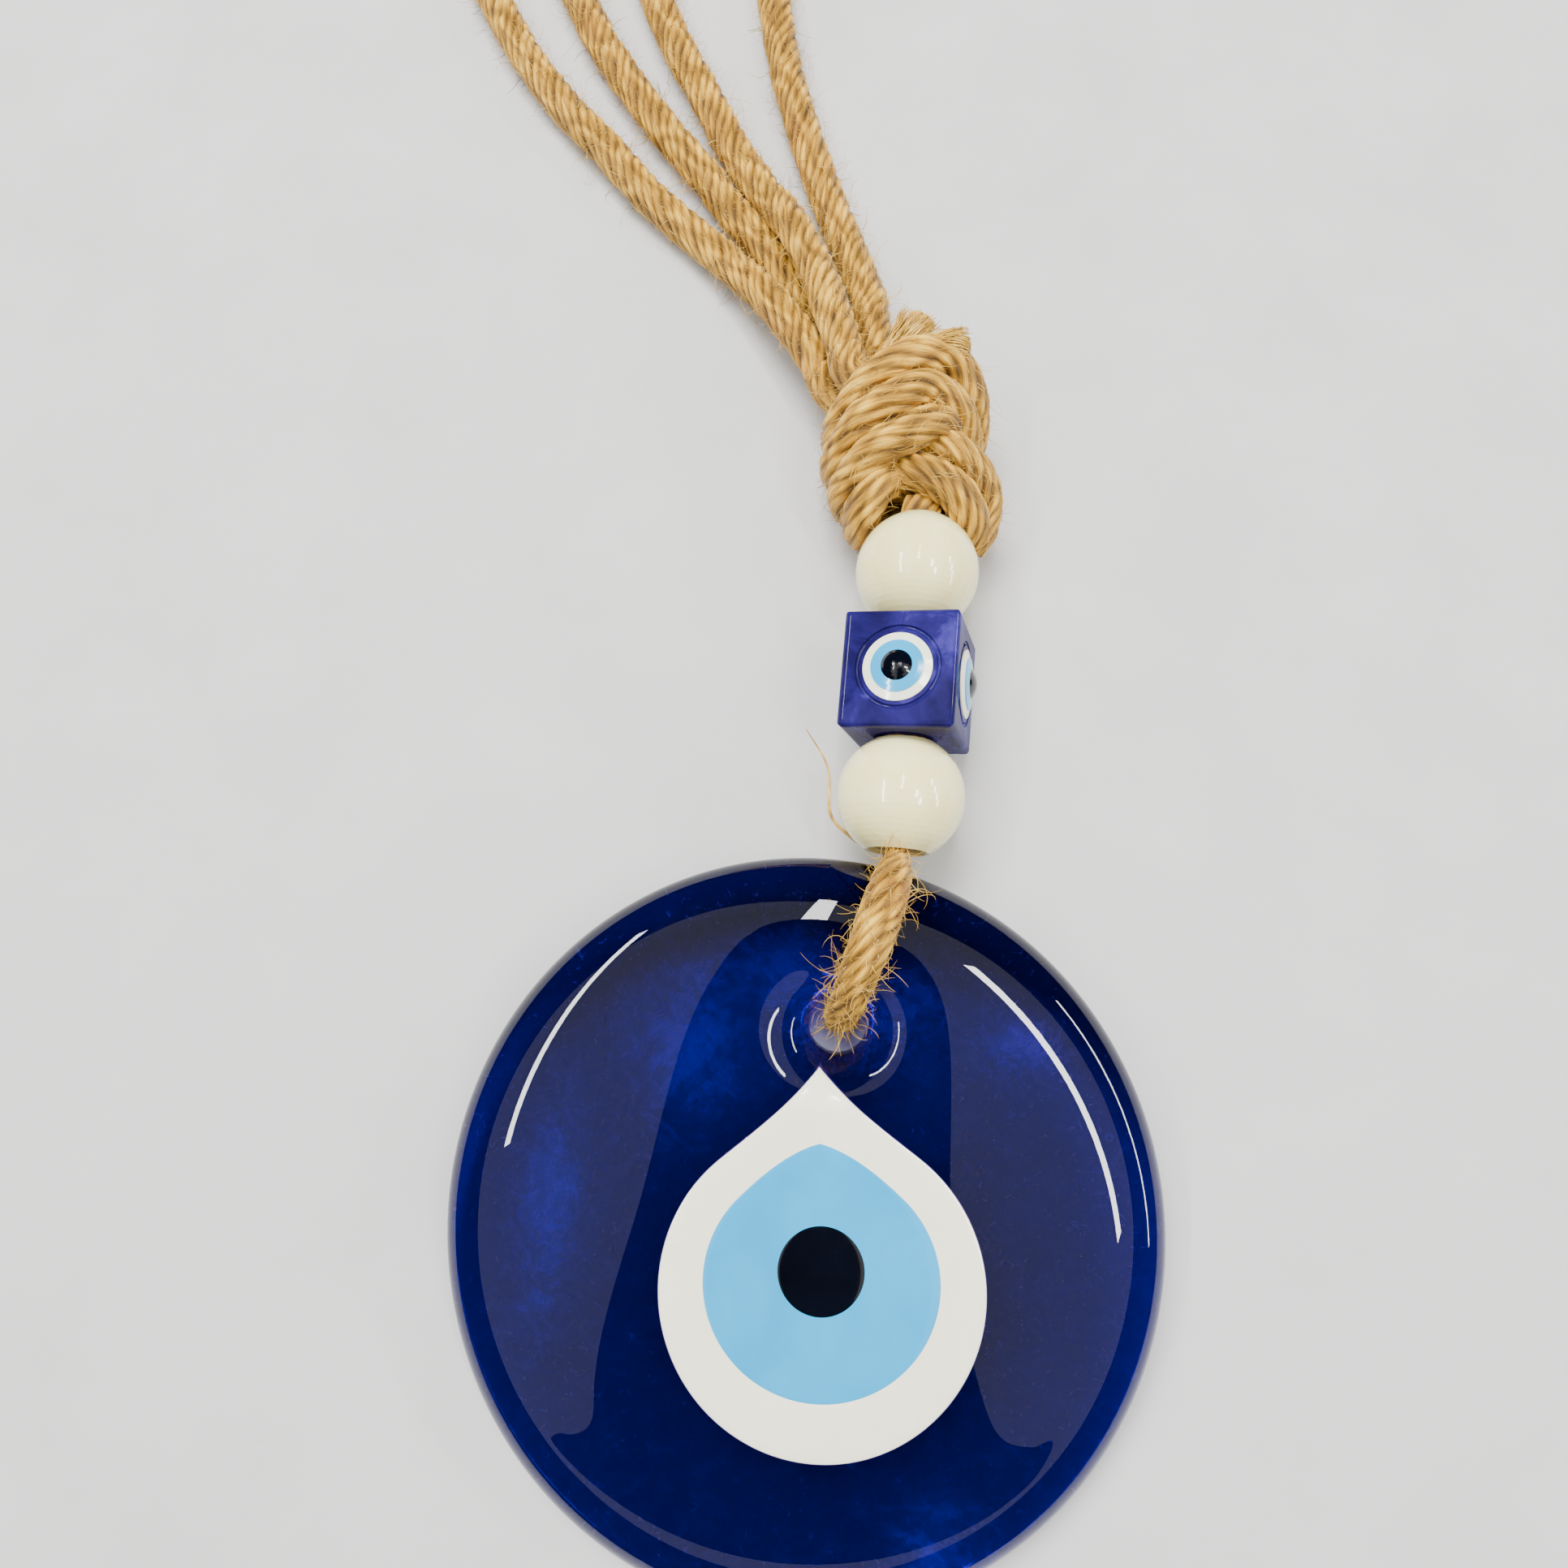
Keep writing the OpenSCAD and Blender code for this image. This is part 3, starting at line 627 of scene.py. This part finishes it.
def free_cord(name, node_name, route, seed, hairs_per_mm, longest):
    """A free stretch of rope with its hairs, lying between two bodies."""
    part = rope_parts(route, ROPE_LAY, seed)
    piece = rope_object(name, [part], ROPE)
    lines = hair_lines(route, hairs_per_mm, longest, seed + 9, bare=3.5)
    fuzz = hair_object(name + "_fuzz", lines, seed + 10, HAIR)
    for obj in (piece, fuzz):
        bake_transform(obj)
    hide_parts(node_name)
    return piece


free_cord("outer_loop_rope", "outer_loop", OUTER_LOOP, seed=11, hairs_per_mm=15, longest=7)
free_cord("inner_loop_rope", "inner_loop", INNER_LOOP, seed=31, hairs_per_mm=15, longest=7)
free_cord("sling_rope", "sling", SLING, seed=51, hairs_per_mm=22, longest=8)

# ---------------------------------------------------------------- knot

# Lay, relief and roughness of a pass whose yarns have come loose and of a firm one.
LOOSE, FIRM = (38, 0.15, 0.2), (25, 0.22, 0.14)
KNOT_LAYS = [LOOSE] * 3 + [FIRM] * 2 + [LOOSE] + [FIRM] * 9

knot = rope_object("knot_rope", [
    rope_parts(route, lay, 100 + 7 * i, relief, roughness)
    for i, (route, (lay, relief, roughness)) in enumerate(zip(KNOT_PASSES, KNOT_LAYS))
], ROPE)
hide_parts("knot")
knot_hairs = [
    hair_lines(route, per_mm=20, longest=6, seed=300 + i, stand=0.35, curl=1.2)
    for i, route in enumerate(KNOT_PASSES)
]
knot_fuzz = hair_object("knot_fuzz", np.concatenate(knot_hairs), 5, HAIR)
stray_line, stray_r = resample(STRAY_FIBRE, 1)[0], 0.32
stray_tube = fibre_tubes(stray_line[None], np.array([stray_r]), sides=6)
stray_fibre = new_object("stray_fibre", *stray_tube, HAIR)
for obj in (knot, knot_fuzz, stray_fibre):
    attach(obj, "cord")


END_LAY = 24


def frayed_end(name, node_name, route, seed, radius):
    """A cut end: a short rope core inside a bundle of ragged fibres."""
    core = rope_parts(route, END_LAY, seed, radius=0.75 * radius)
    piece = rope_object(name, [core], ROPE)
    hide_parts(node_name)
    lines = tuft_lines(route, count=420, spread=0.3, seed=seed, radius=radius)
    brush = hair_object(name + "_fibres", lines, seed, HAIR, thin=0.1, thick=0.19)
    for obj in (piece, brush):
        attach(obj, "cord")


frayed_end("cut_end_a_rope", "cut_end_a", CUT_END_A, 401, ROPE_R)
frayed_end("cut_end_b_rope", "cut_end_b", CUT_END_B, 431, 0.8 * ROPE_R)

# ---------------------------------------------------------------- rope inside the beads

LINE_X, LINE_Z = 10.2, 11.7
LINE_Y = (28.6, 40, 55, 70, 88)
STRAND_Z = 2.05
STRAND_R = 1.95
SQUEEZE = 1.74


def threaded(name, node_name, up, seed):
    """One of the two passes through the beads, pressed flat against the other."""
    z = LINE_Z + up * STRAND_Z
    route = [(LINE_X, y, z) for y in LINE_Y]
    part = rope_parts(route, ROPE_LAY, seed, roughness=0.06, radius=STRAND_R)
    part[0][:, 0] = LINE_X + (part[0][:, 0] - LINE_X) * SQUEEZE
    piece = rope_object(name, [part], ROPE)
    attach(piece, "cord")
    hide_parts(node_name)


threaded("threaded_rope_front", "threaded_cord_front", 1, 501)
threaded("threaded_rope_back", "threaded_cord_back", -1, 521)

# ---------------------------------------------------------------- glass disc and its eye

DISC_R = 55
DISC_T = 10.6
BACK_EDGE = 3
BACK_FLAT_R = DISC_R - BACK_EDGE
DISC_Y = -29.4
DISC_LEAN, DISC_TURN = math.radians(4.5), math.radians(5.5)
HOLE_AT, HOLE_R = np.array((6, 29.7)), 4.5
DISH_AT, DISH_R = np.array((4.2, 29.5)), 14
MOUTH_DEPTH = 6.3
EYE_AT = np.array((3, -8.1))
LOW_LIP = 1.2
SHOULDER_R = 44.5
DISC_ABOVE_TABLE = 0.01


def on_disc(points):
    """Points from the disc's own frame to the place where it leans, in mm."""
    x, y, z = np.moveaxis(np.asarray(points, float), -1, 0)
    x, y = (x * math.cos(DISC_TURN) - y * math.sin(DISC_TURN),
            x * math.sin(DISC_TURN) + y * math.cos(DISC_TURN) + BACK_FLAT_R)
    y, z = (y * math.cos(DISC_LEAN) - z * math.sin(DISC_LEAN),
            y * math.sin(DISC_LEAN) + z * math.cos(DISC_LEAN))
    return np.stack([x, y + DISC_Y - BACK_FLAT_R, z + DISC_ABOVE_TABLE], axis=-1)


def waves(x, y, seed, lengths, height):
    """Gentle uneven waves of hand-poured glass."""
    rng = np.random.default_rng(seed)
    total = 0
    for wavelength in lengths:
        way, phase = rng.uniform(0, TAU, 2)
        total = total + np.cos((x * math.cos(way) + y * math.sin(way)) * TAU / wavelength + phase)
    return height * total / len(lengths)


def mouth_reach(direction):
    """Distance from the hole's middle to the edge of the dish in a direction."""
    offset = DISH_AT - HOLE_AT
    along = direction @ offset
    return along + np.sqrt(DISH_R ** 2 - offset @ offset + along ** 2)


def front_height(x, y):
    """Height of the glass front: a crown that rounds down at the rim and into the hole."""
    t = np.minimum(np.hypot(x, y) / DISC_R, 1)
    top = BACK_EDGE + (DISC_T - BACK_EDGE - 0.5 * t ** 2) * np.sqrt(1 - t ** 11)
    top = top + waves(x, y, 3, (34, 41, 52, 63), 0.07) * (1 - t ** 8)
    away = np.stack([x, y], axis=-1) - HOLE_AT
    distance = np.linalg.norm(away, axis=-1)
    reach = mouth_reach(away / np.maximum(distance, 1e-6)[..., None])
    u = np.clip((reach - distance) / (reach - HOLE_R), 0, 1)
    return top - MOUTH_DEPTH * (1 - np.sqrt(1 - u ** 2))


def off_round(points):
    """The disc as poured, slightly taller than wide."""
    x, y = points[..., 0], points[..., 1]
    out = np.clip((np.hypot(x, y) - 40) / 15, 0, 1) ** 2
    share = y / np.maximum(np.hypot(x, y), 1e-6)
    grow = out * (0.006 + 0.011 * share ** 2)
    return points * np.stack([1 + grow, 1 + grow, 1 + 0 * grow], axis=-1)


def glass_rings(turns):
    """Rings of the disc's surface: up the hole, out over the front, round the rim and back."""
    theta = np.arange(turns) * TAU / turns
    ray = np.stack([np.cos(theta), np.sin(theta)], axis=-1)
    hole_edge = HOLE_AT + HOLE_R * ray
    rings = []

    def add(xy, z):
        rings.append(np.concatenate([xy, np.broadcast_to(z, turns)[:, None]], axis=1))

    # Round the hole's lower lip, and up its wall.
    for a in np.radians(np.linspace(0, 90, 6)):
        add(hole_edge + LOW_LIP * (1 - math.sin(a)) * ray, LOW_LIP * (1 - math.cos(a)))
    wall_top = front_height(*hole_edge.T)
    for t in (0.25, 0.5, 0.75):
        add(hole_edge, LOW_LIP + t * (wall_top - LOW_LIP))
    # Out over the hole's mouth, to the edge of the dish.
    reach = mouth_reach(ray)
    for u in 1 - np.linspace(0, 1, 26) ** 2 * 0.999:
        xy = HOLE_AT + (reach - u * (reach - HOLE_R))[:, None] * ray
        add(xy, front_height(*xy.T))
    # Out over the front, to the shoulder.
    inner = HOLE_AT + reach[:, None] * ray
    b = np.sum(ray * HOLE_AT, axis=1)
    outer = HOLE_AT + (np.sqrt(b * b - HOLE_AT @ HOLE_AT + SHOULDER_R ** 2) - b)[:, None] * ray
    for t in np.linspace(0, 1, 22)[1:]:
        xy = inner + t * (outer - inner)
        add(xy, front_height(*xy.T))
    # Down round the rim, and round the back's edge.
    rim = outer / SHOULDER_R
    for t in np.sin(np.radians(np.linspace(0, 90, 26)))[1:]:
        xy = rim * (SHOULDER_R + t * (DISC_R - SHOULDER_R))
        add(xy, front_height(*xy.T))
    for a in np.radians(np.linspace(0, 90, 10))[1:]:
        add(rim * (BACK_FLAT_R + BACK_EDGE * math.cos(a)), BACK_EDGE * (1 - math.sin(a)))
    # In over the back, which is uneven, to the hole's lower lip.
    start, end = rim * BACK_FLAT_R, HOLE_AT + (HOLE_R + LOW_LIP) * ray
    for t in np.linspace(0, 1, 60)[1:-1]:
        xy = start + t * (end - start)
        ripple = 0.2 + waves(xy[:, 0], xy[:, 1], 8, (7, 9, 12, 15, 21), 0.2)
        add(xy, ripple * min(1, 6 * t, 6 * (1 - t)))
    return off_round(np.stack(rings))


def grid_faces(rows, columns, closed):
    """Quads of a grid whose columns close up, and whose rows do too if it is closed."""
    i, k = np.meshgrid(np.arange(rows if closed else rows - 1), np.arange(columns), indexing="ij")
    up, right = (i + 1) % rows, (k + 1) % columns
    return np.stack([i * columns + k, up * columns + k, up * columns + right,
                     i * columns + right], axis=-1).reshape(-1, 4).tolist()


def glass_body():
    """The disc's clear glass, with its hole."""
    turns = 360
    rings = glass_rings(turns)
    piece = new_object("glass_body", on_disc(rings).reshape(-1, 3),
                       grid_faces(len(rings), turns, True), COBALT)
    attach(piece, "disc")
    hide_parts("glass_disc")


def teardrop(radius, tip, opening, pull, tip_way):
    """Outline of a teardrop: an arc below and two flanks that meet at the tip."""
    opening = math.radians(opening)
    a = np.linspace(math.pi - opening, TAU + opening, 120)
    arc = radius * np.stack([np.cos(a), np.sin(a)], axis=-1)
    p, q = arc[-1], np.array((0, tip))
    p_out = p + pull * np.array((-math.sin(opening), math.cos(opening)))
    q_in = q + np.array(tip_way)
    t = np.linspace(0, 1, 26)[1:, None]
    right = (p * (1 - t) ** 3 + 3 * p_out * t * (1 - t) ** 2
             + 3 * q_in * t ** 2 * (1 - t) + q * t ** 3)
    left = right[-2::-1] * (-1, 1)
    return np.vstack([arc, right, left])


def circle(radius):
    """Outline of a circle."""
    a = np.arange(96) * TAU / 96
    return radius * np.stack([np.cos(a), np.sin(a)], axis=-1)


def fused_layer(name, node_name, outline, middle, base, lift, depth, made):
    """A fused layer of coloured glass that follows the front from a base height up."""
    round_over, seam, seam_depth = 0.9, 0.3, 0.04
    at = EYE_AT + np.array((0, middle))
    scales = 1 - np.concatenate([[0], np.geomspace(0.004, 0.97, 26)])
    rings = []
    for drop in (depth, 0.5 * depth, 0.12):
        xy = at + outline
        rings.append(np.column_stack([xy, front_height(*xy.T) + base - drop]))
    for scale in scales:
        xy = at + outline * scale
        inset = (1 - scale) * np.linalg.norm(outline, axis=1)
        swell = base + lift * (1 - np.exp(-inset / round_over)) - seam_depth * np.exp(-inset / seam)
        rings.append(np.column_stack([xy, front_height(*xy.T) + swell]))
    rows, columns = len(rings), len(outline)
    points = np.vstack(rings)
    middle_top = np.append(at, front_height(*at[:, None])[0] + base + lift)
    middle_low = np.append(at, front_height(*at[:, None])[0] + base - depth)
    faces = [tuple(reversed(face)) for face in grid_faces(rows, columns, False)]
    top, low = rows * columns, rows * columns + 1
    last = (rows - 1) * columns
    for k in range(columns):
        nxt = (k + 1) % columns
        faces.append((last + k, last + nxt, top))
        faces.append((nxt, k, low))
    piece = new_object(name, on_disc(np.vstack([points, middle_top, middle_low])), faces, made)
    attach(piece, "disc")
    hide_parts(node_name)


glass_body()
WHITE_OUTLINE = teardrop(24.2, 32.2, 52, 7, (5, -5.6)) * (1, 0.99)
BLUE_OUTLINE = teardrop(17.5, 20.7, 45, 5, (4.5, -1.2)) * (1, 0.96)
fused_layer("white_teardrop", "white_drop", WHITE_OUTLINE, middle=0.1, base=0.0, lift=0.22,
            depth=2, made=WHITE)
fused_layer("blue_teardrop", "light_blue_drop", BLUE_OUTLINE, middle=1.3, base=0.25, lift=0.1,
            depth=1.2, made=BLUE)
fused_layer("dark_pupil", "pupil", circle(6.45), middle=3, base=0.38, lift=0.12,
            depth=0.8, made=DARK)

# ---------------------------------------------------------------- beads, cube and eyes


def dress(name, made):
    """Gives a CAD node a material."""
    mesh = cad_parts[name].data
    mesh.materials.clear()
    mesh.materials.append(made)


for name in ("lower_bead", "upper_bead"):
    dress(name, BEAD)
dress("cube_bead", CUBE)
for i in range(1, 5):
    dress(f"eye_ring_{i}", WHITE)
    dress(f"eye_iris_{i}", BLUE)
    dress(f"eye_pupil_{i}", DARK)

# ---------------------------------------------------------------- floor and light


def add_floor():
    """A pale table top."""
    made, tree, shader = material("floor", Roughness=0.6, Specular_IOR_Level=0.3)
    grain = noise(tree, node(tree, "TexCoord").outputs["Object"], 40.0)
    tree.links.new(ramp(tree, grain, [(0.3, (0.54, 0.54, 0.535)), (0.7, (0.58, 0.58, 0.575))]),
                   shader.inputs["Base Color"])
    half = 3000
    corners = [(-half, -half, 0), (half, -half, 0), (half, half, 0), (-half, half, 0)]
    new_object("floor", corners, [(0, 1, 2, 3)], made, smooth=False)


def area_light(name, size, power, matrix):
    """A rectangular light with power in watts."""
    data = bpy.data.lights.new(name, "AREA")
    data.shape = "RECTANGLE"
    data.size, data.size_y = size
    data.energy = power
    light = bpy.data.objects.new(name, data)
    bpy.context.scene.collection.objects.link(light)
    light.matrix_world = matrix
    return light


def add_key():
    """The soft main light, kept out of reflections."""
    place, target = Vector((-0.35, 0.75, 1.3)), Vector((0, 0.05, 0))
    turn = (place - target).to_track_quat("Z", "Y").to_matrix().to_4x4()
    key = area_light("key", (0.8, 0.6), 40, Matrix.Translation(place) @ turn)
    key.visible_glossy = False


def add_strip(name, start, end, width, power):
    """A tube light between two points, shining down at the object."""
    start, end = np.array(start, float), np.array(end, float)
    middle, length = (start + end) / 2, float(np.linalg.norm(end - start))
    along = (end - start) / length
    back = middle - along * (middle @ along)
    back /= np.linalg.norm(back)
    turn = Matrix((along, np.cross(back, along), back)).transposed().to_4x4()
    area_light(name, (length, width), power, Matrix.Translation(middle) @ turn)


def add_world():
    """Soft light from all round."""
    world = bpy.data.worlds.new("world")
    world.use_nodes = True
    background = world.node_tree.nodes["Background"]
    background.inputs["Color"].default_value = (1.0, 0.98, 0.95, 1)
    background.inputs["Strength"].default_value = 0.8
    bpy.context.scene.world = world


def add_dark_card():
    """A dark card over the disc, seen only in reflections, where the camera's holder stands."""
    height = 190
    made, _, _ = material("card", Base_Color=(0.01, 0.01, 0.01, 1), Roughness=1.0)
    outline = np.array([
        (0, 52), (-28, 44), (-38, 20), (-42, -20), (-52, -85), (-60, -120), (-67, -150), (-76, -190),
        (-120, -225), (-160, -280), (160, -280), (150, -205), (108, -188), (78, -168), (59, -136),
        (46, -90), (48, -40), (46, 15), (30, 42)
    ], float)
    # Each round cuts the corners, so that the outline ends up smooth.
    for _ in range(3):
        ahead = np.roll(outline, -1, axis=0)
        outline = np.stack([0.75 * outline + 0.25 * ahead, 0.25 * outline + 0.75 * ahead], axis=1)
        outline = outline.reshape(-1, 2)
    corners = [(x, y, height) for x, y in outline]
    card = new_object("card", corners, [tuple(range(len(corners)))], made, smooth=False)
    card.visible_camera = card.visible_diffuse = card.visible_shadow = False
    card.visible_transmission = False


def add_dark_ring():
    """A dark wall and ceiling round the set, seen only in reflections and through the glass."""
    made = bpy.data.materials["card"]
    turns, radius, height = 72, 1500, 930
    a = np.arange(turns) * TAU / turns
    way = np.column_stack([np.cos(a), np.sin(a)])
    opening = 920 - 520 * np.sin(a)
    rings = [(radius + 0 * a, 0), (radius + 0 * a, height), (opening, height)]
    points = [np.column_stack([way * r[:, None], z + 0 * a]) for r, z in rings]
    ring = new_object("dark_ring", np.vstack(points), grid_faces(3, turns, False), made)
    ring.visible_camera = ring.visible_diffuse = ring.visible_shadow = False


add_floor()
add_world()
add_dark_card()
add_dark_ring()
add_key()
# Start, end and width of each tube light, and its power.
STRIPS = [
    ("strip_left", (-0.60, -0.29, 0.9), (-0.60, 0.46, 0.9), 0.05, 5),
    ("strip_middle", (-0.04, 0.06, 0.9), (0.0, 0.44, 0.9), 0.05, 2),
    ("strip_right", (0.29, 0.165, 0.9), (0.68, -0.35, 0.9), 0.05, 5),
    ("strip_far", (0.69, 0.378, 0.54), (1.2, -0.34, 0.45), 0.04, 4),
]
for strip in STRIPS:
    add_strip(*strip)
